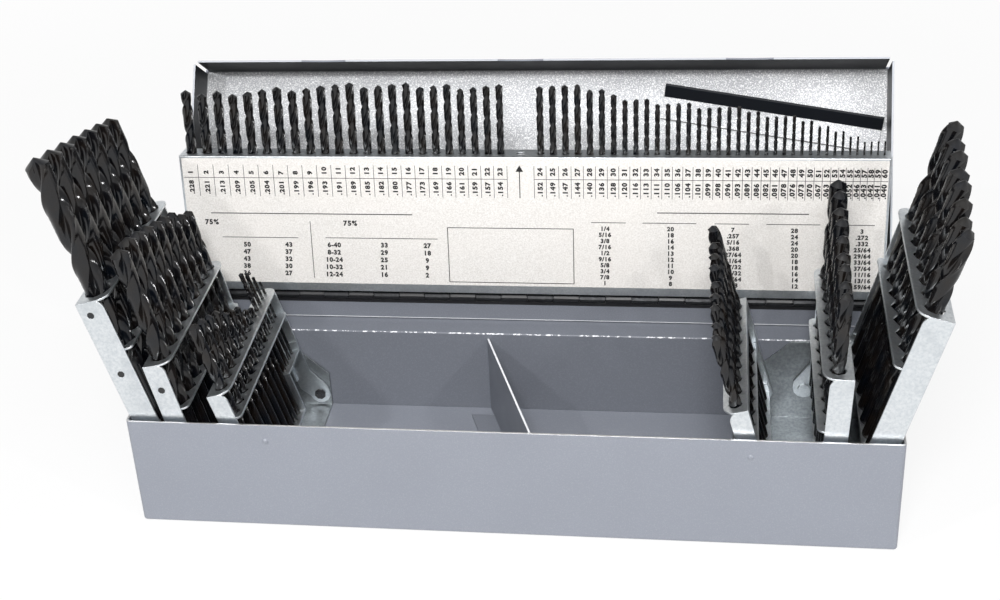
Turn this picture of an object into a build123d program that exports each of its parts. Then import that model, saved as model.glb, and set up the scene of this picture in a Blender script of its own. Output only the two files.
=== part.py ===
"""Drill bit drawer case: a folded steel tray with a hinged lid, six swing racks and a number rack.

Frame: +X to the right, +Y to the back, +Z up, millimetres.
The origin is the centre of the tray's underside. The case is modelled open, racks raised.
"""
from build123d import *
import math
import os

os.makedirs("parts", exist_ok=True)

INCH = 25.4

# ---- tray -------------------------------------------------------------
case_width = 15 * INCH
case_depth = 129.0
case_height = 62.0
sheet = 1.0
tray_corner_radius = 2.0
tray_bend_radius = 1.6
bump_spread = 119.0 * 2
bump_height = 52.5
bump_radius = 1.6
bump_proud = 0.6
bump_sides = 10

# ---- rear liner and divider ------------------------------------------
liner_face_y = 48.4
liner_top_z = 49.7
liner_foot = 10.0
divider_height = 45.5
divider_rear_x = -20.3
divider_front_x = 19.3
divider_foot = 13.0
divider_foot_end_gap = 8.5

# ---- hinge ------------------------------------------------------------
hinge_y = 63.05
hinge_z = 64.3
pin_radius = 1.1
knuckle_radius = 2.1
knuckle_count = 26
knuckle_sides = 8
hinge_bore_sides = 6
hinge_half_length = 185.0
knuckle_gap = 0.3
leaf_thickness = 0.9
leaf_width = 11.6
pin_clearance = 0.06

# ---- lid --------------------------------------------------------------
lid_open_angle = 125.0
lid_width = 384.0
lid_length = 130.3
lid_panel_height = 15.2
lid_skirt_drop = 10.4
lid_rear_wall_start = 3.2
lid_bend_radius = 1.5
lid_corner_relief = 2.2
lid_dip_depth = 0.9
lid_dip_chord = 26.0
lid_dip_positions = (-117.0, -6.5, 117.0)

# ---- point retainer on the lid panel ------------------------------------
retainer_start = (71.4, 114.7)
retainer_end = (188.3, 95.8)
retainer_base = 12.9
retainer_lip = 9.1
retainer_lip_angle = 50.6
retainer_sheet = 0.9

# ---- number rack --------------------------------------------------------
number_lean = 6.65
number_width = 377.0
number_plate_front = -2.94
number_plate_bottom = 3.6
number_plate_top = 81.8
number_flange_depth = 13.0
number_side_depth = 11.0
number_drill_line = 3.6
number_rest_points = ((-186.0, 17.6), (-108.0, 30.1), (8.0, 42.3), (186.0, 51.2))
number_rest_depth = 8.0
number_guide_height = 62.0
number_guide_depth = 8.6
number_first_x = -182.9
number_gap = 2.16
number_share = 1.173
number_hole_play = 0.3
number_hole_sides = 6
centre_drill_after = 23
centre_drill_size = 3 / 16 * INCH
centre_drill_slot = 10.6
label_bottom = 8.2
label_thickness = 0.2
label_margin = 1.2

# ---- swing racks --------------------------------------------------------
rack_front_y = -61.0
rack_rear_y = 46.2
rack_sheet = 1.0
rack_lip = 3.2
rack_corner_radius = 7.0
leg_corner_radius = 5.0
drill_margin = 3.6
hole_play = 0.5
plate_hole_sides = 8
guide_hole_sides = 6
pivot_radius = 2.0
pivot_clearance = 0.05
pivot_sides = 16
leg_hole_play = 0.02
pivot_boss_radius = 5.8
pivot_boss_sides = 12
pivot_bore_sides = 10
pivot_head_radius = 3.2
pivot_head = 0.9
pivot_head_sides = 8
guide_flange = 6.0
rest_lip = 4.0
leg_hole_radius = 1.9

# ---- rack brackets ------------------------------------------------------
bracket_sheet = 1.0
ear_front_y = -62.4
ear_rear_y = 46.5
ear_inner = 112.0
ear_outer = 188.4
ear_low_z = 22.3
ear_slope_end = 141.7
ear_top_z = 49.8

# ---- drill bits ---------------------------------------------------------
drill_sides = 6
drill_length_scale = 36.4
drill_length_power = 0.56
drill_length_step = INCH / 8
point_half_angle = 59.0

fraction_sizes = [n / 64 * INCH for n in range(32, 3, -1)]
letter_sizes = [
    d * INCH
    for d in (
        0.234, 0.238, 0.242, 0.246, 0.250, 0.257, 0.261, 0.266, 0.272,
        0.277, 0.281, 0.290, 0.295, 0.302, 0.316, 0.323, 0.332, 0.339,
        0.348, 0.358, 0.368, 0.377, 0.386, 0.397, 0.404, 0.413,
    )
]
number_sizes = [
    d * INCH
    for d in (
        0.228, 0.221, 0.213, 0.209, 0.2055, 0.204, 0.201, 0.199, 0.196, 0.1935,
        0.191, 0.189, 0.185, 0.182, 0.180, 0.177, 0.173, 0.1695, 0.166, 0.161,
        0.159, 0.157, 0.154, 0.152, 0.1495, 0.147, 0.144, 0.1405, 0.136, 0.1285,
        0.120, 0.116, 0.113, 0.111, 0.110, 0.1065, 0.104, 0.1015, 0.0995, 0.098,
        0.096, 0.0935, 0.089, 0.086, 0.082, 0.081, 0.0785, 0.076, 0.073, 0.070,
        0.067, 0.0635, 0.0595, 0.055, 0.052, 0.0465, 0.043, 0.042, 0.041, 0.040,
    )
]


class Rack:
    """One swing rack: where its pivot is, how it leans, and which drill bits it holds.

    In a rack's own upright frame s runs from its outer edge (0) towards the middle of the case,
    and w runs up along the drill bits from the top face of the upper plate (0).
    """

    def __init__(self, name, side, lean, width, leg, pivot, pivot_s, height, guide, rest, sizes, step=None, leg_holes=()):
        self.name = name
        self.side = side
        self.lean = lean
        self.width = width
        self.leg = leg
        self.pivot_out, self.pivot_z = pivot
        self.pivot_s = pivot_s
        self.height = height
        self.guide = guide
        self.rest = rest
        self.sizes = sizes
        self.step = step
        self.leg_holes = leg_holes

    def drill_rows(self):
        """Centre position along Y, size and resting level of each drill bit, from the front."""
        room = rack_rear_y - rack_front_y - 2 * rack_sheet - 2 * drill_margin
        gap = (room - sum(self.sizes)) / (len(self.sizes) - 1)
        y = rack_front_y + rack_sheet + drill_margin
        rows = []
        for index, size in enumerate(self.sizes):
            level = self.rest
            if self.step and index >= self.step[0]:
                level = self.step[1]
            rows.append((y + size / 2, size, -level))
            y += size + gap
        return rows

    def place(self, solids):
        """Mirror for the right-hand side, then lean the rack about its pivot and set it in the case."""
        if self.side > 0:
            solids = mirror(solids, about=Plane.YZ, mode=Mode.PRIVATE)
        pivot_x = -self.side * self.pivot_s
        at_pivot = solids.moved(Location((-pivot_x, 0, self.height)))
        leaned = at_pivot.rotate(Axis.Y, self.side * self.lean)
        return leaned.moved(Location((self.side * self.pivot_out, 0, self.pivot_z)))


left_racks = [
    Rack(
        "left_rack_1", -1, 15.2, 17.5, 13.8, (174.6, 44.1), 9.0, 88.6, 29.5, 78.0, fraction_sizes[0:7],
        leg_holes=((5.2, -7.5), (6.0, -42.5)),
    ),
    Rack(
        "left_rack_2", -1, 12.1, 14.5, 10.8, (149.2, 21.5), 13.3, 75.0, 27.0, 69.0, fraction_sizes[7:16],
        leg_holes=((5.0, -14.6),),
    ),
    Rack(
        "left_rack_3", -1, 16.0, 12.0, 9.7, (118.0, 9.5), 10.0, 71.4, 15.6, 64.0, fraction_sizes[16:29],
        step=(9, 40.0),
    ),
]
right_racks = [
    Rack("right_rack_1", 1, 15.8, 17.5, 13.8, (174.3, 44.1), 9.0, 88.2, 29.8, 81.5, letter_sizes[18:26]),
    Rack("right_rack_2", 1, 2.1, 14.5, 11.2, (149.2, 21.5), 13.3, 74.0, 30.0, 66.0, letter_sizes[9:18]),
    Rack("right_rack_3", 1, -15.0, 12.0, 9.7, (124.9, 9.5), 10.0, 66.9, 27.5, 58.4, letter_sizes[0:9]),
]


def save(part, name):
    part.label = name
    export_step(part, f"parts/{name}.step")


def drill_length(size):
    """Overall length of a jobber drill bit of this diameter, to the nearest eighth of an inch."""
    length = drill_length_scale * size**drill_length_power
    return round(length / drill_length_step) * drill_length_step


# ---- the case -----------------------------------------------------------
def make_tray():
    with BuildPart() as tray:
        with BuildSketch():
            RectangleRounded(case_width, case_depth, tray_corner_radius)
        extrude(amount=case_height)
        fillet(tray.faces().sort_by(Axis.Z)[0].edges(), tray_bend_radius)
        offset(amount=-sheet, openings=tray.faces().sort_by(Axis.Z)[-1])
        front = Plane(origin=(0, -case_depth / 2, bump_height), x_dir=(1, 0, 0), z_dir=(0, -1, 0))
        with BuildSketch(front):
            with GridLocations(bump_spread, 0, 2, 1):
                RegularPolygon(bump_radius, bump_sides)
        extrude(amount=bump_proud, taper=45)
    return tray.part


def make_rear_liner():
    inner_rear = case_depth / 2 - sheet
    with BuildPart() as liner:
        with BuildSketch(Plane.YZ):
            with BuildLine():
                Polyline(
                    (liner_face_y + liner_foot, sheet),
                    (liner_face_y, sheet),
                    (liner_face_y, liner_top_z),
                    (inner_rear, liner_top_z),
                    (inner_rear, liner_top_z - sheet),
                    (liner_face_y + sheet, liner_top_z - sheet),
                    (liner_face_y + sheet, 2 * sheet),
                    (liner_face_y + liner_foot, 2 * sheet),
                    close=True,
                )
            make_face()
        extrude(amount=case_width / 2 - sheet, both=True)
        bend = liner.edges().filter_by(Axis.X).group_by(Axis.Z)[-1].sort_by(Axis.Y)[0]
        fillet(bend, 0.8)
    return liner.part


def make_divider():
    front_y = -case_depth / 2 + sheet
    run = Vector(divider_front_x - divider_rear_x, front_y - liner_face_y)
    along = run.normalized()
    wall_shift = sheet / abs(along.Y)
    foot_shift = divider_foot / abs(along.Y)
    rear_cut = liner_face_y - divider_foot_end_gap
    front_cut = front_y + divider_foot_end_gap
    slope = run.X / run.Y

    def at(y, shift):
        return (divider_rear_x + (y - liner_face_y) * slope - shift, y)

    with BuildPart() as divider:
        with BuildSketch(Plane.XY.offset(sheet)):
            with BuildLine():
                Polyline(
                    at(liner_face_y, 0), at(front_y, 0), at(front_y, wall_shift), at(liner_face_y, wall_shift),
                    close=True,
                )
            make_face()
        extrude(amount=divider_height)
        with BuildSketch(Plane.XY.offset(sheet)):
            with BuildLine():
                Polyline(
                    at(rear_cut, 0), at(front_cut, 0), at(front_cut, foot_shift), at(rear_cut, foot_shift),
                    close=True,
                )
            make_face()
        extrude(amount=sheet)
    return divider.part


def make_bracket(racks):
    """Folded U bracket: a floor plate with a front and a rear ear that carry the rack pivots."""
    side = racks[0].side
    rear_face = ear_rear_y + bracket_sheet
    with BuildPart() as bracket:
        with BuildSketch(Plane.XZ.offset(-rear_face)):
            with BuildLine():
                Polyline(
                    (side * ear_inner, sheet),
                    (side * ear_inner, ear_low_z),
                    (side * ear_slope_end, ear_top_z),
                    (side * ear_outer, ear_top_z),
                    (side * ear_outer, sheet),
                    close=True,
                )
            make_face()
        extrude(amount=rear_face - ear_front_y)
        middle_y = (ear_front_y + rear_face) / 2
        gap = ear_rear_y - ear_front_y - bracket_sheet
        floor_top = sheet + bracket_sheet
        with Locations((side * (ear_inner + ear_outer) / 2, middle_y, floor_top + ear_top_z / 2)):
            Box(ear_outer - ear_inner + 2, gap, ear_top_z, mode=Mode.SUBTRACT)
        with BuildSketch(Plane.XZ.offset(-rear_face)):
            for rack in racks:
                with Locations((side * rack.pivot_out, rack.pivot_z)):
                    RegularPolygon(pivot_radius + pivot_clearance, pivot_bore_sides, major_radius=False)
        extrude(amount=rear_face - ear_front_y, mode=Mode.SUBTRACT)
    return bracket.part


# ---- the piano hinge ------------------------------------------------------
knuckle_pitch = 2 * hinge_half_length / knuckle_count


def knuckle_centres(first):
    return [-hinge_half_length + (i + 0.5) * knuckle_pitch for i in range(first, knuckle_count, 2)]


def hinge_location(x):
    return Location((x, hinge_y, hinge_z), (0, 90, 0))


def make_hinge_leaf(first, upward):
    """One leaf of the hinge: a strip beside the pin line and every other knuckle, bored for the pin."""
    inner_rear = case_depth / 2 - sheet
    direction = 1 if upward else -1
    strip_near = hinge_z + direction * (knuckle_radius + 0.2)
    strip_middle = strip_near + direction * leaf_width / 2
    if not upward:
        strip_middle = hinge_z - knuckle_radius - 0.2 - leaf_width / 2
    with BuildPart() as leaf:
        with Locations((0, inner_rear - leaf_thickness / 2, strip_middle)):
            Box(2 * hinge_half_length, leaf_thickness, leaf_width)
        for x in knuckle_centres(first):
            with BuildSketch(Plane.YZ.offset(x)):
                with Locations((hinge_y, hinge_z)):
                    RegularPolygon(knuckle_radius, knuckle_sides, rotation=180 / knuckle_sides)
            extrude(amount=(knuckle_pitch - knuckle_gap) / 2, both=True)
            with Locations((x, inner_rear - leaf_thickness / 2, (hinge_z + strip_middle) / 2)):
                Box(knuckle_pitch - knuckle_gap, leaf_thickness, abs(strip_middle - hinge_z))
        with BuildSketch(Plane.YZ):
            with Locations((hinge_y, hinge_z)):
                RegularPolygon(pin_radius + pin_clearance, hinge_bore_sides, major_radius=False)
        extrude(amount=hinge_half_length + 1, both=True, mode=Mode.SUBTRACT)
    return leaf.part


def make_hinge_pin():
    with BuildPart() as pin:
        with Locations(hinge_location(0)):
            Cylinder(pin_radius, case_width - 2 * sheet - 0.4)
    return pin.part


# ---- the lid ----------------------------------------------------------------
hinge_axis = Axis((0, hinge_y, hinge_z), (1, 0, 0))


def open_lid(solids):
    """Everything on the lid is modelled closed and then swung open about the hinge pin."""
    return solids.rotate(hinge_axis, -lid_open_angle)


def make_lid():
    front_y = hinge_y - lid_length
    rear_y = case_depth / 2
    length = rear_y - front_y
    middle_y = (front_y + rear_y) / 2
    skirt_z = hinge_z - lid_skirt_drop
    top_z = hinge_z + lid_panel_height
    height = top_z - skirt_z
    rear_wall_z = hinge_z + lid_rear_wall_start
    dip_radius = (lid_dip_chord**2 / 4 + lid_dip_depth**2) / (2 * lid_dip_depth)
    with BuildPart() as lid:
        with Locations((0, middle_y, skirt_z + height / 2)):
            Box(lid_width, length, height)
        fillet(lid.faces().sort_by(Axis.Z)[-1].edges(), lid_bend_radius)
        with Locations((0, middle_y, skirt_z + height / 2 - sheet)):
            Box(lid_width - 2 * sheet, length - 2 * sheet, height, mode=Mode.SUBTRACT)
        with Locations((0, rear_y - sheet / 2, skirt_z + (rear_wall_z - skirt_z) / 2)):
            Box(lid_width - 2 * sheet, sheet + 0.1, rear_wall_z - skirt_z, mode=Mode.SUBTRACT)
        relief = height - 2 * sheet
        with Locations((0, front_y + lid_corner_relief / 2, skirt_z + relief / 2)):
            with GridLocations(lid_width - lid_corner_relief, 0, 2, 1):
                Box(lid_corner_relief, lid_corner_relief, relief, mode=Mode.SUBTRACT)
        for x in lid_dip_positions:
            at_edge = Location((x, front_y, skirt_z + lid_dip_depth - dip_radius), (90, 0, 0))
            with Locations(at_edge):
                Cylinder(dip_radius, 4 * sheet, mode=Mode.SUBTRACT)
    return open_lid(lid.part)


def make_retainer():
    """Slanted strip under the lid panel: its turned-up edge stops the number drill bits sliding out."""
    x0, a0 = retainer_start
    x1, a1 = retainer_end
    panel_z = hinge_z + lid_panel_height - sheet
    slant = math.degrees(math.atan2(a0 - a1, x1 - x0))
    length = math.hypot(x1 - x0, a1 - a0)
    middle = ((x0 + x1) / 2, hinge_y - (a0 + a1) / 2, panel_z)
    lip_run = retainer_lip * math.cos(math.radians(retainer_lip_angle))
    lip_rise = retainer_lip * math.sin(math.radians(retainer_lip_angle))
    back = retainer_sheet / math.sin(math.radians(retainer_lip_angle))
    profile = Plane(origin=middle, x_dir=(0, 1, 0), z_dir=(1, 0, 0)).rotated((0, 0, slant), ordering=None)
    with BuildPart() as retainer:
        with BuildSketch(profile):
            with BuildLine():
                Polyline(
                    (retainer_base, 0),
                    (0, 0),
                    (-lip_run, -lip_rise),
                    (-lip_run + back, -lip_rise),
                    (back - retainer_sheet / math.tan(math.radians(retainer_lip_angle)), -retainer_sheet),
                    (retainer_base, -retainer_sheet),
                    close=True,
                )
            make_face()
        extrude(amount=length / 2, both=True)
    return open_lid(retainer.part)


# ---- the number rack ----------------------------------------------------------
def lean_number_rack(solids):
    """The number rack is modelled upright about the hinge pin and then leaned back."""
    at_pin = solids.moved(Location((0, hinge_y, hinge_z)))
    return at_pin.rotate(hinge_axis, -number_lean)


def number_positions():
    """Centre along X of each numbered hole, and of the empty hole for a centre drill."""
    x = number_first_x
    centres = [x]
    for index in range(1, len(number_sizes)):
        pair = (number_sizes[index - 1] + number_sizes[index]) / 2
        x += 2 * centre_drill_slot if index == centre_drill_after else number_gap + number_share * pair
        centres.append(x)
    return centres, centres[centre_drill_after - 1] + centre_drill_slot


def number_rest_level(x):
    """Height of the sloping rest under a number drill bit, above the hinge pin."""
    for start, end in zip(number_rest_points, number_rest_points[1:]):
        if x <= end[0]:
            break
    share = (x - start[0]) / (end[0] - start[0])
    return start[1] + share * (end[1] - start[1])


def make_number_plate():
    """Folded front plate with a drilled top flange and two side flanges that reach the hinge pin."""
    centres, empty = number_positions()
    half = number_width / 2
    front = number_plate_front
    plate_height = number_plate_top - number_plate_bottom
    middle_z = (number_plate_top + number_plate_bottom) / 2
    with BuildPart() as plate:
        with Locations((0, front + sheet / 2, middle_z)):
            Box(number_width, sheet, plate_height)
        with Locations((0, front + number_flange_depth / 2, number_plate_top - sheet / 2)):
            Box(number_width, number_flange_depth, sheet)
        fillet(plate.edges().filter_by(Axis.X).group_by(Axis.Z)[-1].sort_by(Axis.Y)[0], 0.8)
        with BuildSketch(Plane.YZ.offset(-half)):
            with BuildLine():
                Polyline(
                    (front, number_plate_top),
                    (front + number_side_depth, number_plate_top),
                    (front + number_side_depth, number_plate_bottom + 22),
                    (pin_radius + 1, number_plate_bottom),
                    (pin_radius + 1, 0),
                    (-pin_radius - 1, 0),
                    (front, number_plate_bottom),
                    close=True,
                )
            make_face()
            Circle(pin_radius + 1)
            Circle(pin_radius + pin_clearance, mode=Mode.SUBTRACT)
        extrude(amount=sheet)
        side_flange = plate.part
        mirror(about=Plane.YZ)
        with BuildSketch(Plane.XY.offset(number_plate_top)):
            for x, size in zip(centres, number_sizes):
                with Locations((x, number_drill_line)):
                    RegularPolygon((size + number_hole_play) / 2, number_hole_sides, major_radius=False)
            with Locations((empty, number_drill_line)):
                RegularPolygon(centre_drill_size / 2, number_hole_sides, major_radius=False)
        extrude(amount=-2 * sheet, mode=Mode.SUBTRACT)
    return lean_number_rack(plate.part)


def make_number_rest():
    """Sloping bent strip behind the plate that the number drill bits stand on."""
    back = number_plate_front + sheet
    underside = [(x, z - sheet) for x, z in reversed(number_rest_points)]
    with BuildPart() as rest:
        with BuildSketch(Plane.XZ.offset(-back)):
            with BuildLine():
                Polyline(*number_rest_points, *underside, close=True)
            make_face()
        extrude(amount=-number_rest_depth)
    return lean_number_rack(rest.part)


def make_label():
    height = number_plate_top - label_margin - label_bottom
    with BuildPart() as label:
        with Locations((0, number_plate_front - label_thickness / 2, label_bottom + height / 2)):
            Box(number_width - 2 * label_margin, label_thickness, height)
    return lean_number_rack(label.part)


# ---- drill bits -----------------------------------------------------------------
def make_drill(size):
    """One drill bit standing on the origin: a many-sided body with a pointed end."""
    point = size / 2 / math.tan(math.radians(point_half_angle))
    body = drill_length(size) - point
    with BuildPart() as drill:
        with BuildSketch():
            RegularPolygon(size / 2, drill_sides)
        extrude(amount=body)
        loft([drill.faces().sort_by(Axis.Z)[-1], Vertex(0, 0, body + point)], ruled=True)
    return drill.part


def make_drill_group(rows):
    """Drill bits standing at (x, y, level), one separate solid each."""
    bits = [make_drill(size).moved(Location((x, y, level))) for x, y, level, size in rows]
    with BuildPart() as drills:
        add(bits)
    return drills.part


def make_number_drills():
    centres, _ = number_positions()
    rows = []
    for x, size in zip(centres, number_sizes):
        slope = abs(number_rest_level(x + size / 2) - number_rest_level(x - size / 2)) / 2
        rows.append((x, number_drill_line, number_rest_level(x) + slope, size))
    return lean_number_rack(make_drill_group(rows))


# ---- swing racks ------------------------------------------------------------------
def leg_outline(rack):
    """Leg seen from the front: straight outer edge, rounded top corner, flared foot round the pivot."""
    foot = -rack.height
    flare = rack.pivot_s + pivot_boss_radius
    with BuildSketch(Plane.XZ) as outline:
        with BuildLine():
            Polyline(
                (0, 0),
                (rack.leg, 0),
                (rack.leg, foot + 16),
                (flare, foot + 4),
                (flare, foot),
                (rack.pivot_s - pivot_boss_radius, foot),
                (0, foot + 6),
                close=True,
            )
        make_face()
        top_corner = outline.vertices().group_by(Axis.Y)[-1].sort_by(Axis.X)[-1]
        fillet(top_corner, leg_corner_radius)
        with Locations((rack.pivot_s, foot)):
            RegularPolygon(pivot_boss_radius, pivot_boss_sides)
    return outline.sketch


def make_rack_frame(rack):
    """Pressed frame: perforated upper plate, two folded legs and a narrow outer lip."""
    length = rack_rear_y - rack_front_y
    middle_y = (rack_rear_y + rack_front_y) / 2
    leg = leg_outline(rack)
    with BuildPart() as frame:
        with Locations((rack.width / 2, middle_y, -rack_sheet / 2)):
            Box(rack.width, length, rack_sheet)
        inner_corners = frame.edges().filter_by(Axis.Z).group_by(Axis.X)[-1]
        fillet(inner_corners, rack_corner_radius)
        extrude(leg.moved(Location((0, rack_front_y, 0))), amount=-rack_sheet)
        extrude(leg.moved(Location((0, rack_rear_y, 0))), amount=rack_sheet)
        with Locations((rack_sheet / 2, middle_y, -rack_lip / 2)):
            Box(rack_sheet, length, rack_lip)
        lip_height = rack.height - 12
        for y in (rack_front_y + rack_lip / 2, rack_rear_y - rack_lip / 2):
            with Locations((rack_sheet / 2, y, -lip_height / 2)):
                Box(rack_sheet, rack_lip, lip_height)
        with BuildSketch():
            for y, size, _ in rack.drill_rows():
                with Locations((rack.width / 2, y)):
                    RegularPolygon((size + hole_play) / 2, plate_hole_sides, major_radius=False)
        extrude(amount=-2 * rack_sheet, mode=Mode.SUBTRACT)
        with BuildSketch(Plane.XZ.offset(-rack_rear_y)):
            with Locations((rack.pivot_s, -rack.height)):
                RegularPolygon(pivot_radius + leg_hole_play, pivot_bore_sides, major_radius=False)
        extrude(amount=length, mode=Mode.SUBTRACT)
        if rack.leg_holes:
            with BuildSketch(Plane.XZ.offset(-rack_front_y)):
                with Locations(*rack.leg_holes):
                    RegularPolygon(leg_hole_radius, plate_hole_sides)
            extrude(amount=-rack_lip, mode=Mode.SUBTRACT)
    return rack.place(frame.part)


def make_rack_guide(rack):
    """Lower perforated plate between the legs, with its two ends folded down against them."""
    front = rack_front_y + rack_sheet
    rear = rack_rear_y - rack_sheet
    start = rack_sheet + 0.2
    width = rack.width - start
    with BuildPart() as guide:
        with Locations((start + width / 2, (front + rear) / 2, -rack.guide - rack_sheet / 2)):
            Box(width, rear - front, rack_sheet)
        fillet(guide.edges().filter_by(Axis.Z).group_by(Axis.X)[-1], rack_corner_radius / 2)
        for y in (front + rack_sheet / 2, rear - rack_sheet / 2):
            with Locations((start + (rack.leg - start) / 2, y, -rack.guide - guide_flange / 2)):
                Box(rack.leg - start - 1, rack_sheet, guide_flange)
        with BuildSketch(Plane.XY.offset(-rack.guide)):
            for y, size, _ in rack.drill_rows():
                with Locations((rack.width / 2, y)):
                    RegularPolygon((size + hole_play) / 2, guide_hole_sides, major_radius=False)
        extrude(amount=-2 * rack_sheet, mode=Mode.SUBTRACT)
    return rack.place(guide.part)


def make_rack_rest(rack):
    """Tray that the shanks stand on: folded up at both ends, stepped where the short bits stand."""
    front = rack_front_y + rack_sheet
    rear = rack_rear_y - rack_sheet
    start = rack_sheet + 0.2
    width = rack.leg - start
    front_level = rear_level = -rack.rest - rack_sheet
    points = [(front, front_level)]
    if rack.step:
        rows = rack.drill_rows()
        first_short, short_rest = rack.step
        rear_level = -short_rest - rack_sheet
        step_y = (rows[first_short - 1][0] + rows[first_short][0] + rack_sheet) / 2
        points += [(step_y, front_level), (step_y, rear_level)]
    points.append((rear, rear_level))
    with BuildPart() as rest:
        with BuildSketch(Plane.YZ.offset(start)):
            with BuildLine():
                Polyline(
                    (front, front_level + guide_flange),
                    *points,
                    (rear, rear_level + guide_flange),
                )
                offset(amount=rack_sheet, side=Side.LEFT, kind=Kind.INTERSECTION)
            make_face()
        extrude(amount=width)
    return rack.place(rest.part)


def make_rack_drills(rack):
    rows = [(rack.width / 2, y, level, size) for y, size, level in rack.drill_rows()]
    return rack.place(make_drill_group(rows))


def make_rack_pivots(rack):
    """Front and rear pivot rivets: held in the legs, turning in the bracket ears."""
    outer_gap = 0.1
    with BuildPart() as pivots:
        for leg_face, ear_face, out, head in (
            (rack_front_y + rack_sheet, ear_front_y, -1, 0.7),
            (rack_rear_y - rack_sheet, ear_rear_y + bracket_sheet, 1, 0.5),
        ):
            shank_end = ear_face + out * (outer_gap + head)
            for end, thickness, radius, sides in (
                (leg_face, shank_end - leg_face, pivot_radius, pivot_sides),
                (leg_face, -out * pivot_head, pivot_head_radius, pivot_head_sides),
                (shank_end, -out * head, pivot_head_radius, pivot_head_sides),
            ):
                with BuildSketch(Plane.XZ.offset(-end)):
                    with Locations((rack.pivot_s, -rack.height)):
                        RegularPolygon(radius, sides)
                extrude(amount=-thickness)
    return rack.place(pivots.part)


# ---- build and write every piece ----------------------------------------------------
save(make_tray(), "tray")
save(make_rear_liner(), "rear_liner")
save(make_divider(), "divider")
save(make_bracket(left_racks), "left_bracket")
save(make_bracket(right_racks), "right_bracket")
save(make_hinge_leaf(0, upward=False), "lower_hinge_leaf")
save(make_hinge_pin(), "hinge_pin")
save(make_lid(), "lid_pan")
save(open_lid(make_hinge_leaf(1, upward=True)), "upper_hinge_leaf")
save(make_retainer(), "point_retainer")
save(make_number_plate(), "number_plate")
save(make_number_rest(), "number_rest")
save(make_label(), "number_label")
save(make_number_drills(), "number_drills")

for rack in left_racks + right_racks:
    save(make_rack_frame(rack), f"{rack.name}_frame")
    save(make_rack_guide(rack), f"{rack.name}_guide")
    save(make_rack_rest(rack), f"{rack.name}_rest")
    save(make_rack_drills(rack), f"{rack.name}_drills")
    save(make_rack_pivots(rack), f"{rack.name}_pivots")
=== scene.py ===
"""Looks for the drill bit drawer case: twist drill bits, painted and zinc-plated sheet, the printed scale."""
import math
import random

import bmesh
import bpy
from mathutils import Matrix, Vector


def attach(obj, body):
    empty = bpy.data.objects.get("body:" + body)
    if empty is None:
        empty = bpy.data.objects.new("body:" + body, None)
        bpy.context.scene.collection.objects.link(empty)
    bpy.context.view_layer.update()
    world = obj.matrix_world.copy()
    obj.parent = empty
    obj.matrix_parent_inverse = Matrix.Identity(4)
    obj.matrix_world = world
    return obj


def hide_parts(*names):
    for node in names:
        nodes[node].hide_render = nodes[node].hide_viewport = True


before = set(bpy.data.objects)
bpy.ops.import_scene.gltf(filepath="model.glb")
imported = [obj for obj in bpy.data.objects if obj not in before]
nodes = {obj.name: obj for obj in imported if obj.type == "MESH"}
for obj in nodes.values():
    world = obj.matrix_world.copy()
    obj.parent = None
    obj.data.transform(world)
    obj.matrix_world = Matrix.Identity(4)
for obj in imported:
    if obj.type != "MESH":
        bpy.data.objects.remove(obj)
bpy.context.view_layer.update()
racks = [f"{side}_rack_{number}" for side in ("left", "right") for number in (1, 2, 3)]

MM = 0.001
hinge = Vector((0, 63.05, 64.3)) * MM
lid_swing = math.radians(125)
number_lean = math.radians(6.65)
# Places on the lid are given as it lies closed, those on the number rack as it stands upright.
lid_frame = Matrix.Translation(hinge) @ Matrix.Rotation(-lid_swing, 4, "X")
number_frame = Matrix.Translation(hinge) @ Matrix.Rotation(-number_lean, 4, "X")


def shift(x, y, z):
    """A move given in millimetres."""
    return Matrix.Translation(Vector((x, y, z)) * MM)


# ---- mesh helpers --------------------------------------------------------------
def piece(name, bm, body, material, sharp=0.6, smooth=True):
    """Turns a bmesh into an object riding on a body; edges sharper than the angle stay crisp."""
    for face in bm.faces:
        face.smooth = smooth
    for edge in bm.edges:
        edge.smooth = edge.calc_face_angle(0.0) < sharp
    mesh = bpy.data.meshes.new(name)
    bm.to_mesh(mesh)
    bm.free()
    mesh.materials.append(material)
    obj = bpy.data.objects.new(name, mesh)
    bpy.context.scene.collection.objects.link(obj)
    if body:
        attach(obj, body)
    return obj


def add_box(bm, matrix, size):
    bmesh.ops.create_cube(bm, size=1.0, matrix=matrix @ Matrix.Diagonal((*size, 1.0)))


def add_disc(bm, matrix, low_radius, high_radius, depth, sides=24):
    bmesh.ops.create_cone(
        bm, segments=sides, radius1=low_radius * MM, radius2=high_radius * MM, depth=depth * MM,
        cap_ends=True, matrix=matrix,
    )


# ---- shader helpers --------------------------------------------------------------
FLOAT, COLOUR, VECTOR = "NodeSocketFloat", "NodeSocketColor", "NodeSocketVector"


def new_group(name, inputs, outputs):
    group = bpy.data.node_groups.new(name, "ShaderNodeTree")
    for label, kind, value in inputs:
        socket = group.interface.new_socket(label, in_out="INPUT", socket_type=kind)
        socket.default_value = value
    for label, kind in outputs:
        group.interface.new_socket(label, in_out="OUTPUT", socket_type=kind)
    start = group.nodes.new("NodeGroupInput")
    end = group.nodes.new("NodeGroupOutput")
    return group, start, end


def new_material(name):
    material = bpy.data.materials.new(name)
    material.use_nodes = True
    tree = material.node_tree
    return material, tree, tree.nodes["Principled BSDF"]


def node(tree, kind, links=None, **values):
    """Adds a node: plain keywords set its properties, links sets or connects its inputs."""
    made = tree.nodes.new(kind)
    for key, value in values.items():
        setattr(made, key, value)
    for key, value in (links or {}).items():
        if isinstance(value, bpy.types.NodeSocket):
            tree.links.new(value, made.inputs[key])
        else:
            made.inputs[key].default_value = value
    return made


def object_place(tree):
    return node(tree, "ShaderNodeTexCoord").outputs["Object"]


def split_place(tree, place):
    return node(tree, "ShaderNodeSeparateXYZ", {0: place}).outputs


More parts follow.
